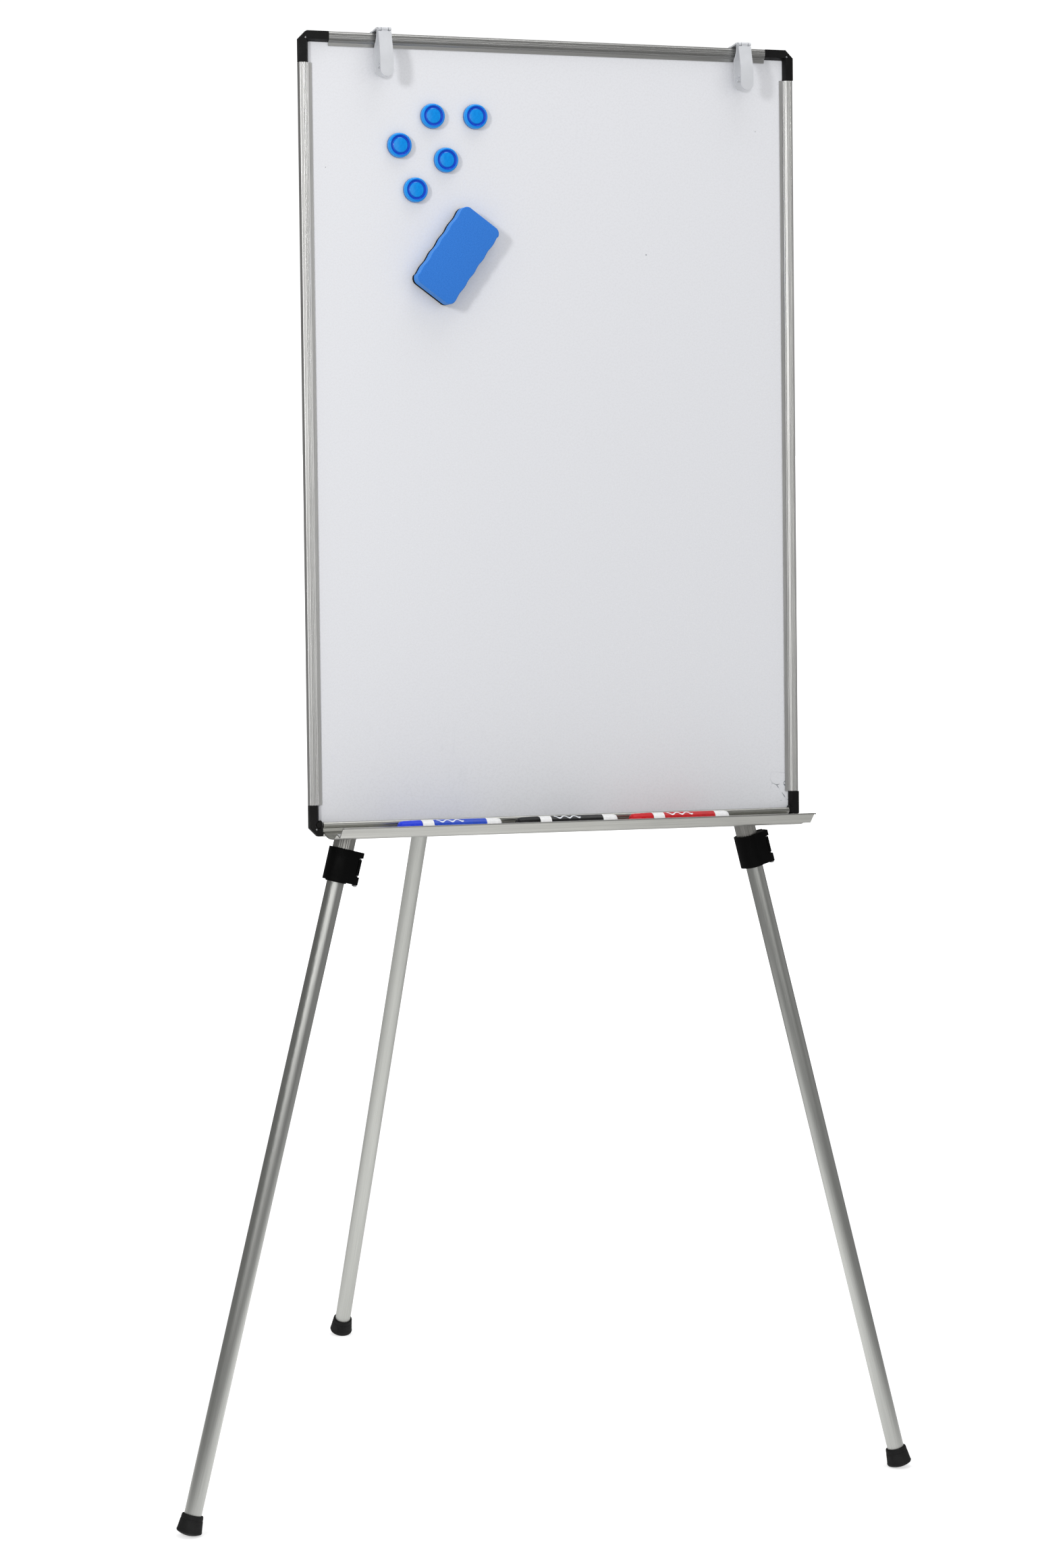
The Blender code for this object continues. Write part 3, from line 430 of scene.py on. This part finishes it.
def build_looks():
    """Every finish of the object by name."""
    made = {
        "enamel": enamel(),
        "fibre": fibre(),
        "zinc": zinc(),
        # Painted shade: the top and bottom rails take a darker copy of the side rails' aluminium, standing in
        # for their dimmer reflections.
        "rail_x_painted_shade": brushed("satin_aluminium_rail_x", shade(186, 186, 184), 0.40, 0, BOARD),
        "rail_z": brushed("satin_aluminium_rail_z", shade(232, 232, 230), 0.30, 2, BOARD),
        "tray": brushed("satin_aluminium_tray", shade(196, 196, 191), 0.34, 0, BOARD),
        "steel": brushed("steel_pin", shade(190, 191, 193), 0.28, 2, tone=0.2),
        "black": moulded("black_plastic", shade(11, 10, 10), 0.42, specular=0.30),
        "clamp": moulded(
            "black_plastic_clamp", shade(5, 5, 5), 0.50, grain=1900.0, depth=0.00005, specular=0.12
        ),
        "rubber": moulded("black_rubber", shade(24, 24, 24), 0.72, grain=1100.0, depth=0.00009, specular=0.3),
        "grey": moulded(
            "grey_plastic", shade(208, 210, 214), 0.40, grain=1200.0, depth=0.00004, specular=0.4, tone=0.05
        ),
        "ferrite": moulded("ferrite", shade(50, 50, 54), 0.62, grain=900.0, depth=0.0001, specular=0.4),
        "magnet": magnet_blue(),
        "foam": foam(),
        "felt": felt(),
    }
    for label in LEGS:
        made["upper_" + label] = brushed(
            "satin_aluminium_upper_" + label, shade(196, 195, 190), 0.33, 2, LEG[label], tone=0.12
        )
    made["tube"] = brushed("satin_aluminium_tube", shade(202, 203, 199), 0.36, 2, tone=0.10)
    # Painted light: the rear leg's lower tube takes a paler, half-metallic copy of the tube aluminium,
    # standing in for the bright floor it reflects.
    made["tube_rear_painted_light"] = brushed(
        "satin_aluminium_tube_rear", shade(208, 209, 204), 0.48, 2, metallic=0.5, tone=0.08
    )
    inks = {"blue": shade(16, 70, 196), "black": shade(16, 16, 18), "red": shade(196, 6, 22)}
    caps = {"blue": shade(22, 58, 224), "black": shade(14, 14, 15), "red": shade(206, 8, 26)}
    for label in PENS:
        made["pen_" + label] = pen_body(label, inks[label])
        made["cap_" + label] = moulded(
            "cap_" + label, caps[label], 0.30, grain=1500.0, depth=0.00003, specular=0.3, tone=0.12
        )
    return made


LOOKS = build_looks()


def add_piece(name, mesh, matrix, look, body, stands_for=()):
    """Put a finished mesh in place, give it its finish and let it ride on a body."""
    obj = bpy.data.objects.new(name, mesh)
    bpy.context.collection.objects.link(obj)
    obj.matrix_world = matrix
    mesh.materials.append(LOOKS[look])
    mesh.shade_smooth()
    mesh.set_sharp_from_angle(angle=SHARP_ANGLE)
    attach(obj, body)
    if stands_for:
        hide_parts(*stands_for)
    return obj


def soften(points, radius, steps=3):
    """Round every corner of a closed outline that isn't on the axis."""
    count = len(points)
    rounded = []
    for i, point in enumerate(points):
        here = Vector(point)
        before = Vector(points[i - 1])
        after = Vector(points[(i + 1) % count])
        if here.x == 0.0:
            rounded.append(point)
            continue
        reach_in = min(radius, (before - here).length * 0.45)
        reach_out = min(radius, (after - here).length * 0.45)
        start = here + (before - here).normalized() * reach_in
        end = here + (after - here).normalized() * reach_out
        for k in range(steps + 1):
            share = k / steps
            curve = start * (1 - share) ** 2 + here * 2 * share * (1 - share) + end * share ** 2
            rounded.append((curve.x, curve.y))
    return rounded


def lathe(name, profile, segments, axis="Z"):
    """Turn a closed (radius, height) profile round an axis; radius 0 becomes a single point."""
    bm = bmesh.new()
    rings = []
    for radius, height in profile:
        if radius == 0.0:
            rings.append([bm.verts.new((0.0, 0.0, height))])
            continue
        ring = []
        for i in range(segments):
            angle = 2.0 * math.pi * i / segments
            ring.append(bm.verts.new((radius * math.cos(angle), radius * math.sin(angle), height)))
        rings.append(ring)
    count = len(rings)
    for k in range(count):
        here = rings[k]
        after = rings[(k + 1) % count]
        if len(here) == 1 and len(after) == 1:
            continue
        for i in range(segments):
            j = (i + 1) % segments
            corners = (here[i % len(here)], here[j % len(here)], after[j % len(after)], after[i % len(after)])
            bm.faces.new(tuple(dict.fromkeys(corners)))
    turn = {"X": Matrix.Rotation(math.pi / 2.0, 4, "Y"), "Y": Matrix.Rotation(-math.pi / 2.0, 4, "X")}
    if axis in turn:
        bmesh.ops.transform(bm, matrix=turn[axis], verts=bm.verts)
    return to_mesh(name, bm)


def to_mesh(name, bm):
    """Turn a bmesh into a mesh whose faces point outwards."""
    bmesh.ops.recalc_face_normals(bm, faces=bm.faces)
    mesh = bpy.data.meshes.new(name)
    bm.to_mesh(mesh)
    bm.free()
    return mesh


def layered(name, rings):
    """Closed body through rings of points of equal length, with a face at each end."""
    bm = bmesh.new()
    loops = [[bm.verts.new(point) for point in ring] for ring in rings]
    bm.faces.new(loops[0])
    bm.faces.new(loops[-1])
    count = len(loops[0])
    for here, after in zip(loops, loops[1:]):
        for i in range(count):
            j = (i + 1) % count
            bm.faces.new((here[i], here[j], after[j], after[i]))
    return to_mesh(name, bm)


def keep(node, look, bevel=0.0, smooth=True):
    """Keep a CAD node as it is, with a better finish and, if a width is given, a bevel modifier."""
    obj = frame["nodes"][node]
    obj.material_slots[0].material = LOOKS[look]
    attributes = obj.data.attributes
    for spare in ("custom_normal", "sharp_edge", "sharp_face"):
        if spare in attributes:
            attributes.remove(attributes[spare])
    obj.data.polygons.foreach_set("use_smooth", [smooth] * len(obj.data.polygons))
    weld = obj.modifiers.new("weld", "WELD")
    weld.merge_threshold = WELD_DISTANCE
    flat = obj.modifiers.new("flat", "DECIMATE")
    flat.decimate_type = "DISSOLVE"
    flat.angle_limit = FLAT_ANGLE
    if bevel > 0.0:
        soft = obj.modifiers.new("soft", "BEVEL")
        soft.width = bevel
        soft.segments = 2
        soft.limit_method = "ANGLE"
        soft.angle_limit = SHARP_ANGLE
        soft.harden_normals = True


def keep_frame():
    """Panel, rails, corner caps and tray."""
    keep("writing_surface", "enamel", 0.0002, False)
    keep("board_core", "fibre", 0.0, False)
    keep("backing_sheet", "zinc", 0.0001, False)
    for side in ("top", "bottom"):
        keep("frame_" + side, "rail_x_painted_shade", 0.0, False)
        for hand in ("left", "right"):
            keep("corner_cap_%s_%s" % (side, hand), "black", 0.0005)
    for hand in ("left", "right"):
        keep("frame_" + hand, "rail_z", 0.0, False)
    keep("marker_tray", "tray", 0.0002)


def keep_hardware():
    """Head bracket, clips, pins, hooks, upper tubes and clamps."""
    keep("head_bracket", "black", 0.0005)
    for hand in ("left", "right"):
        keep("leg_clip_" + hand, "black", 0.0005)
        keep("hook_base_" + hand, "grey", 0.00025)
        keep("hook_arm_" + hand, "grey", 0.0003)
        keep("hook_pin_" + hand, "steel", 0.0001)
    for label in LEGS:
        keep("pivot_pin_" + label, "steel", 0.0003)
        keep("upper_tube_" + label, "upper_" + label, 0.0, False)
        keep("clamp_collar_" + label, "clamp", 0.0004)
        keep("clamp_lever_" + label, "clamp", 0.0005)
        keep("clamp_pin_" + label, "steel", 0.0002)
    for i in range(5):
        keep("magnet_disc_%d" % (i + 1), "ferrite", 0.0002)


def build_lower_tubes():
    """Smooth inner tubes with softly broken ends."""
    for label in LEGS:
        end = foot_apex(label) - FOOT_H + FOOT_SOCKET
        profile = [(TUBE_R, -end), (TUBE_R, -TUBE_TOP), (TUBE_BORE, -TUBE_TOP), (TUBE_BORE, -end)]
        mesh = lathe("lower_tube_" + label, soften(profile, 0.0004), 64)
        node = "lower_tube_" + label
        look = "tube_rear_painted_light" if label == "rear" else "tube"
        add_piece(node + "_fine", mesh, LEG[label], look, "lower_leg_" + label, (node,))


def build_feet():
    """Rubber feet: a tapered socket with a shallow groove and a domed sole worn flat where it stands."""
    rim = math.asin(FOOT_RIM / FOOT_DOME)
    for label in LEGS:
        low = -foot_apex(label)
        top = low + FOOT_H
        profile = [(FOOT_BORE, top - 0.0004), (FOOT_BORE, top), (0.0120, top), (0.0126, top - 0.0008)]
        profile += [(0.0130, top - 0.0045), (0.0127, top - 0.0049)]
        profile += [(0.0128, top - 0.0054), (0.0132, top - 0.0058)]
        profile += [(0.0146, low + 0.0072), (FOOT_RIM, low + 0.0056)]
        for share in (0.95, 0.85, 0.72, 0.58, 0.44, 0.30, 0.15):
            turn = rim * share
            profile.append((FOOT_DOME * math.sin(turn), low + FOOT_DOME * (1.0 - math.cos(turn))))
        profile += [(0.0, low), (0.0, top - 0.0166), (FOOT_BORE, top - 0.0166)]
        mesh = lathe("foot_" + label, soften(profile, 0.0004), 56)
        to_leg = LEG[label].inverted()
        for vertex in mesh.vertices:
            spot = LEG[label] @ vertex.co
            if spot.z < 0.0:
                vertex.co = to_leg @ Vector((spot.x, spot.y, 0.0))
        node = "foot_" + label
        add_piece(node + "_fine", mesh, LEG[label], "rubber", "lower_leg_" + label, (node,))


def hexagon(radius, height):
    """Points of a hexagon at one height."""
    turns = [math.pi * i / 3.0 for i in range(6)]
    return [(radius * math.cos(turn), radius * math.sin(turn), height) for turn in turns]


def build_clamp_nuts():
    """Hexagon nut on the lower end of each clamp's pin, and a black bush under each collar."""
    for label in LEGS:
        base = LEG[label] @ Matrix.Translation((0.0, 0.0, -CLAMP_S))
        spot = base @ Matrix.Translation((*CLAMP_PIN, 0.0))
        low = -CLAMP_HALF
        rings = [
            hexagon(0.0027, low - 0.0001), hexagon(0.0030, low - 0.0004),
            hexagon(0.0030, low - 0.0014), hexagon(0.0026, low - 0.0018),
        ]
        mesh = layered("clamp_nut_" + label, rings)
        add_piece("clamp_nut_" + label, mesh, spot, "steel", "upper_leg_" + label)
        inner = TUBE_R + 0.0004
        ring = [(inner, low), (0.0124, low), (0.0121, low - 0.0012), (inner, low - 0.0014)]
        bush = lathe("clamp_bush_" + label, soften(ring, 0.0002), 48)
        add_piece("clamp_bush_" + label, bush, base, "clamp", "upper_leg_" + label)


def build_magnets():
    """Round magnets: a rim, a groove and a flat centre under a rounded shoulder."""
    profile = [
        (0.0, 0.0064), (0.0079, 0.0064), (0.0091, 0.00555), (0.0103, 0.0055), (0.0110, 0.0066),
        (0.0126, 0.0067), (0.0137, 0.0058), (0.0143, 0.0030), (MAGNET_R, 0.0010), (MAGNET_R, 0.0002),
        (0.0102, 0.0002), (0.0102, 0.0043), (0.0, 0.0043),
    ]
    outline = soften([(r, -h) for r, h in profile], 0.0005, 4)
    for i in range(5):
        node = "magnet_cap_%d" % (i + 1)
        low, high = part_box(node)
        centre = BOARD.inverted() @ ((low + high) / 2.0)
        spot = on_board(centre.x, SHEET_FRONT - FACE_GAP, centre.z)
        mesh = lathe(node, outline, 72, "Y")
        add_piece(node + "_fine", mesh, spot, "magnet", "magnet_%d" % (i + 1), (node,))


def eraser_outline(inset):
    """Wavy block outline with round corners, drawn in by an inset."""
    steps = 54
    half_l = ERASER_LEN / 2.0 - inset
    half_w = ERASER_WID / 2.0 - inset
    corner = ERASER_CORNER - inset * 0.5
    side = []
    for i in range(steps + 1):
        along = -1.0 + 2.0 * i / steps
        wave = 0.0009 * (1.0 - math.cos(math.pi * 4.5 * (along + 1.0))) / 2.0
        side.append((half_w - wave, along * (half_l - corner)))
    top = []
    for middle, start in ((half_w - corner, 0.0), (corner - half_w, math.pi / 2.0)):
        for i in range(1, 9):
            angle = start + math.pi / 2.0 * i / 8.0
            if start and i == 8:
                continue
            point = (middle + corner * math.cos(angle), half_l - corner + corner * math.sin(angle))
            top.append(point)
    first = side + top
    return first + [(-x, -z) for x, z in first]


def eraser_block(name, stops):
    """Stack of outlines at given depths and insets."""
    rings = []
    for depth, inset in stops:
        rings.append([(x, -depth, z) for x, z in eraser_outline(inset)])
    return layered(name, rings)


def build_eraser():
    """Foam block with rounded front edges on a pad of black felt."""
    low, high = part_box("eraser_foam")
    centre = BOARD.inverted() @ ((low + high) / 2.0)
    spot = on_board(centre.x, SHEET_FRONT - FACE_GAP, centre.z) @ Matrix.Rotation(ERASER_TURN, 4, "Y")
    stops = [(FOAM_START, 0.0006), (FOAM_START + 0.0004, 0.0001), (FOAM_START + 0.0030, 0.0)]
    stops += [(FOAM_START + 0.0075, 0.0003), (FOAM_END - 0.0020, 0.0001)]
    for k in range(6):
        turn = math.pi / 2.0 * k / 5.0
        stops.append((FOAM_END - 0.0012 * (1.0 - math.sin(turn)), 0.0012 * (1.0 - math.cos(turn))))
    foam_mesh = eraser_block("eraser_foam", stops)
    block = add_piece("eraser_foam_fine", foam_mesh, spot, "foam", "eraser", ("eraser_foam",))
    layers = 4
    stops = [(0.0, 0.0005)]
    for k in range(layers):
        thick = FELT_DEPTH / layers
        stops += [(thick * (k + 0.12), 0.0001), (thick * (k + 0.88), 0.0001), (thick * (k + 1.0), 0.0005)]
    felt_mesh = eraser_block("eraser_felt", stops)
    add_piece("eraser_felt_fine", felt_mesh, spot, "felt", "eraser", ("eraser_felt",))


def build_pen(label):
    """Marker with a nib, a sleeved barrel, a domed end, a tapered cap and a clip."""
    node = "marker_barrel_" + label
    cap_node = "marker_cap_" + label
    left = min(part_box(cap_node)[0].x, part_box(node)[0].x)
    spot = on_board(left + CLIP_OVERHANG, -MARKER_DEPTH, MARKER_RISE)
    radius = MARKER_R
    barrel = [
        (0.0, 0.0060), (0.0014, 0.0060), (0.0026, 0.0100),
        (0.0042, 0.0112), (0.0058, 0.0140), (0.0058, 0.0272),
        (radius - 0.0005, 0.0272), (radius - 0.0001, 0.0282), (radius - 0.0001, 0.0408), (radius, 0.0411),
        (radius, 0.1049), (radius - 0.0001, 0.1052), (radius - 0.0003, 0.1190), (radius - 0.0012, 0.1228),
        (radius - 0.0030, MARKER_LEN), (0.0, MARKER_LEN),
    ]
    mesh = lathe(node, soften(barrel, 0.0006), 56, "X")
    add_piece(node + "_fine", mesh, spot, "pen_" + label, "marker_" + label, (node,))
    cap = [
        (0.0, 0.0002), (radius - 0.0030, 0.0), (radius - 0.0012, 0.0018), (radius - 0.0004, 0.0060),
        (radius + 0.0001, 0.0250), (radius - 0.0001, CAP_LEN), (0.0063, CAP_LEN),
        (0.0063, 0.0044), (0.0, 0.0044),
    ]
    cap_mesh = lathe(cap_node, soften(cap, 0.0005), 56, "X")
    add_piece(cap_node + "_fine", cap_mesh, spot, "cap_" + label, cap_node, (cap_node,))
    bar = [
        (-CLIP_OVERHANG, 0.0086, 0.0016), (-0.0030, 0.0080, 0.0020), (0.0020, 0.0076, 0.0026),
        (0.0060, 0.0084, 0.0026), (0.0160, 0.0089, 0.0024), (0.0236, 0.0090, 0.0019),
    ]
    rings = []
    for x, rise, half in bar:
        low_side = rise - 0.0006
        top_side = rise + 0.0009
        narrow = half * 0.8
        under = [(x, -half, low_side), (x, half, low_side)]
        rings.append(under + [(x, narrow, top_side), (x, -narrow, top_side)])
    turn = Matrix.Rotation(math.radians(82.0), 4, "X")
    clip_mesh = layered("marker_clip_" + label, rings)
    add_piece("marker_clip_" + label, clip_mesh, spot @ turn, "cap_" + label, cap_node)


def cross_screw(name, matrix, radius, height, body):
    """Pan-head screw with a cross recess; its axis is the frame's Z."""
    slot_wide = radius * 0.20
    reach = radius * 0.62
    bm = bmesh.new()
    segments = 32
    star = []
    for quarter in range(4):
        turn = Matrix.Rotation(math.pi / 2.0 * quarter, 2)
        for point in ((slot_wide, slot_wide), (slot_wide, reach), (-slot_wide, reach)):
            star.append(turn @ Vector(point))
    deep = [bm.verts.new((p.x * 0.86, p.y * 0.86, height * 0.45)) for p in star]
    edge = [bm.verts.new((p.x, p.y, height * 0.985)) for p in star]
    rings = []
    for share, rise in ((0.74, 0.96), (0.93, 0.70), (1.0, 0.35), (1.0, 0.0)):
        ring = []
        for i in range(segments):
            angle = 2.0 * math.pi * i / segments + math.pi / 2.0 - math.atan2(slot_wide, reach)
            x = radius * share * math.cos(angle)
            y = radius * share * math.sin(angle)
            ring.append(bm.verts.new((x, y, height * rise)))
        rings.append(ring)
    bm.faces.new(deep)
    count = len(star)
    for i in range(count):
        j = (i + 1) % count
        bm.faces.new((deep[i], deep[j], edge[j], edge[i]))
    for here, after in zip(rings, rings[1:]):
        for i in range(segments):
            j = (i + 1) % segments
            bm.faces.new((here[i], here[j], after[j], after[i]))
    bm.faces.new(rings[-1])
    bm.edges.ensure_lookup_table()
    open_edges = [e for e in bm.edges if len(e.link_faces) == 1]
    bmesh.ops.bridge_loops(bm, edges=open_edges)
    bmesh.ops.triangulate(bm, faces=[f for f in bm.faces if len(f.verts) > 4])
    add_piece(name, to_mesh(name, bm), matrix, "steel", body)


def build_screws():
    """Screws in the corner caps and in the head bracket's plate."""
    outward = Matrix.Rotation(math.pi / 2.0, 4, "X")
    backward = Matrix.Rotation(-math.pi / 2.0, 4, "X")
    inset = (0.0078, 0.0080)
    half = BOARD_W / 2.0
    for side, z in (("bottom", inset[1]), ("top", BOARD_H - inset[1])):
        for hand, x in (("left", inset[0] - half), ("right", half - inset[0])):
            spot = on_board(x, 0.0009, z) @ outward
            cross_screw("cap_screw_%s_%s" % (side, hand), spot, 0.0013, 0.0010, "board")
    plate_corners = [(x, z) for z in (-0.0330, 0.0330) for x in (-0.0480, 0.0480)]
    for i, (x, z) in enumerate(plate_corners):
        spot = on_board(x, 0.0176, PIVOT_AT.z + z) @ backward
        cross_screw("bracket_screw_%d" % (i + 1), spot, 0.0036, 0.0022, "board")


def facing_frame(place, facing):
    """Frame at a place, with its Z along a direction."""
    return Matrix.Translation(place) @ Vector(facing).to_track_quat("Z", "Y").to_matrix().to_4x4()


def studio_card(name, centre, facing, size, look, glossy_only=True):
    """Flat card of the studio, hidden from the camera, diffuse rays and shadows unless told otherwise."""
    bm = bmesh.new()
    half_w = size[0] / 2.0
    half_h = size[1] / 2.0
    corners = ((-half_w, -half_h), (half_w, -half_h), (half_w, half_h), (-half_w, half_h))
    bm.faces.new([bm.verts.new((x, y, 0.0)) for x, y in corners])
    mesh = to_mesh(name, bm)
    mesh.materials.append(look)
    obj = bpy.data.objects.new(name, mesh)
    bpy.context.collection.objects.link(obj)
    obj.matrix_world = facing_frame(centre, facing)
    if glossy_only:
        obj.visible_camera = False
        obj.visible_diffuse = False
        obj.visible_shadow = False
    return obj


def glow(name, inner, outer, radius):
    """Card material whose light goes from an inner strength to an outer one."""
    look = Look(name, (0.0, 0.0, 0.0), 1.0)
    far = look.node("VectorMath", {0: look.at()}, operation="LENGTH").outputs["Value"]
    strength = look.fade(far, 0.0, radius, inner, outer)
    emission = look.node("Emission", {"Strength": strength})
    out = look.tree.nodes["Material Output"]
    look.tree.links.new(emission.outputs[0], out.inputs["Surface"])
    return look.made


def build_world():
    """White to the camera, dimmer as light on the object and darkest in its reflections."""
    world = bpy.data.worlds.new("studio")
    bpy.context.scene.world = world
    world.use_nodes = True
    nodes = world.node_tree.nodes
    links = world.node_tree.links
    nodes.clear()

    def background(strength, colour=(1.0, 1.0, 1.0, 1.0)):
        """Even light of one strength and colour."""
        made = nodes.new("ShaderNodeBackground")
        made.inputs["Color"].default_value = colour
        made.inputs["Strength"].default_value = strength
        return made

    path = nodes.new("ShaderNodeLightPath")
    seen = background(1.05)
    around = background(0.65)
    mirrored = background(0.16, (1.0, 1.0, 0.985, 1.0))
    in_gloss = nodes.new("ShaderNodeMixShader")
    in_view = nodes.new("ShaderNodeMixShader")
    out = nodes.new("ShaderNodeOutputWorld")
    links.new(path.outputs["Is Glossy Ray"], in_gloss.inputs[0])
    links.new(around.outputs[0], in_gloss.inputs[1])
    links.new(mirrored.outputs[0], in_gloss.inputs[2])
    links.new(path.outputs["Is Camera Ray"], in_view.inputs[0])
    links.new(in_gloss.outputs[0], in_view.inputs[1])
    links.new(seen.outputs[0], in_view.inputs[2])
    links.new(in_view.outputs[0], out.inputs["Surface"])


def area_light(name, target, direction, distance, size, power):
    """Soft box that faces a point from a given direction."""
    data = bpy.data.lights.new(name, "AREA")
    data.shape = "RECTANGLE"
    data.size = size[0]
    data.size_y = size[1]
    data.energy = power
    obj = bpy.data.objects.new(name, data)
    bpy.context.collection.objects.link(obj)
    away = Vector(direction).normalized()
    obj.matrix_world = facing_frame(target + away * distance, away)
    return obj


def build_studio():
    """Floor, soft boxes and reflection cards."""
    up = (0.0, 0.0, 1.0)
    floor_size = (80.0, 80.0)
    floor = studio_card("studio_floor", (0.0, 0.0, 0.0), up, floor_size, floor_white(), False)
    floor.visible_diffuse = False
    target = (cad_low + cad_high) / 2.0
    key = area_light("key", target, (-0.68, -0.617, 0.395), 3.78, (0.35, 0.6), 37.0)
    key.visible_glossy = False
    key_at = key.matrix_world.translation
    left_look = glow("left_glow", 1.5, 1.1, 2.4)
    studio_card("left_glow", (-1.2, -3.2, 2.0), (0.2, 1.0, 0.0), (4.2, 2.2), left_look)
    right_look = glow("right_glow", 0.36, 0.28, 2.4)
    studio_card("right_glow", (3.4, -1.2, 1.6), (-1.0, 0.4, 0.0), (5.0, 3.0), right_look)
    spark_at = target + (key_at - target) * 0.97
    studio_card("spark", spark_at, target - spark_at, (0.12, 0.55), glow("spark", 22.0, 14.0, 0.3))
    fill = area_light("fill", target, (0.50, -0.80, 0.34), 4.2, (1.8, 2.0), 9.0)
    fill.visible_glossy = False
    area_light("top", target, (0.10, -0.10, 1.0), 3.2, (2.2, 2.2), 38.0)
    floor_look = glow("floor_glow", 1.1, 0.22, 1.5)
    studio_card("floor_glow", (0.0, -0.1, 0.004), up, floor_size, floor_look)


def build_camera():
    """Camera at the viewing angle, with its roll."""
    forward = Vector((
        math.sin(CAMERA_TURN) * math.cos(CAMERA_PITCH),
        math.cos(CAMERA_TURN) * math.cos(CAMERA_PITCH),
        math.sin(CAMERA_PITCH),
    ))
    level = Vector((math.cos(CAMERA_TURN), -math.sin(CAMERA_TURN), 0.0))
    upright = level.cross(forward)
    right = level * math.cos(CAMERA_ROLL) + upright * math.sin(CAMERA_ROLL)
    up = upright * math.cos(CAMERA_ROLL) - level * math.sin(CAMERA_ROLL)
    axes = Matrix((right, up, -forward)).transposed()
    data = bpy.data.cameras.new("camera")
    data.sensor_fit = "VERTICAL"
    data.sensor_height = SENSOR
    data.lens = FOCAL_LENGTH
    data.clip_end = 200.0
    camera = bpy.data.objects.new("camera", data)
    bpy.context.collection.objects.link(camera)
    camera.matrix_world = Matrix.Translation(CAMERA_AT) @ axes.to_4x4()
    bpy.context.scene.camera = camera


keep_frame()
keep_hardware()
build_lower_tubes()
build_feet()
build_clamp_nuts()
build_magnets()
build_eraser()
for pen in PENS:
    build_pen(pen)
build_screws()
build_world()
build_studio()
build_camera()
bpy.context.scene.view_settings.view_transform = "Standard"
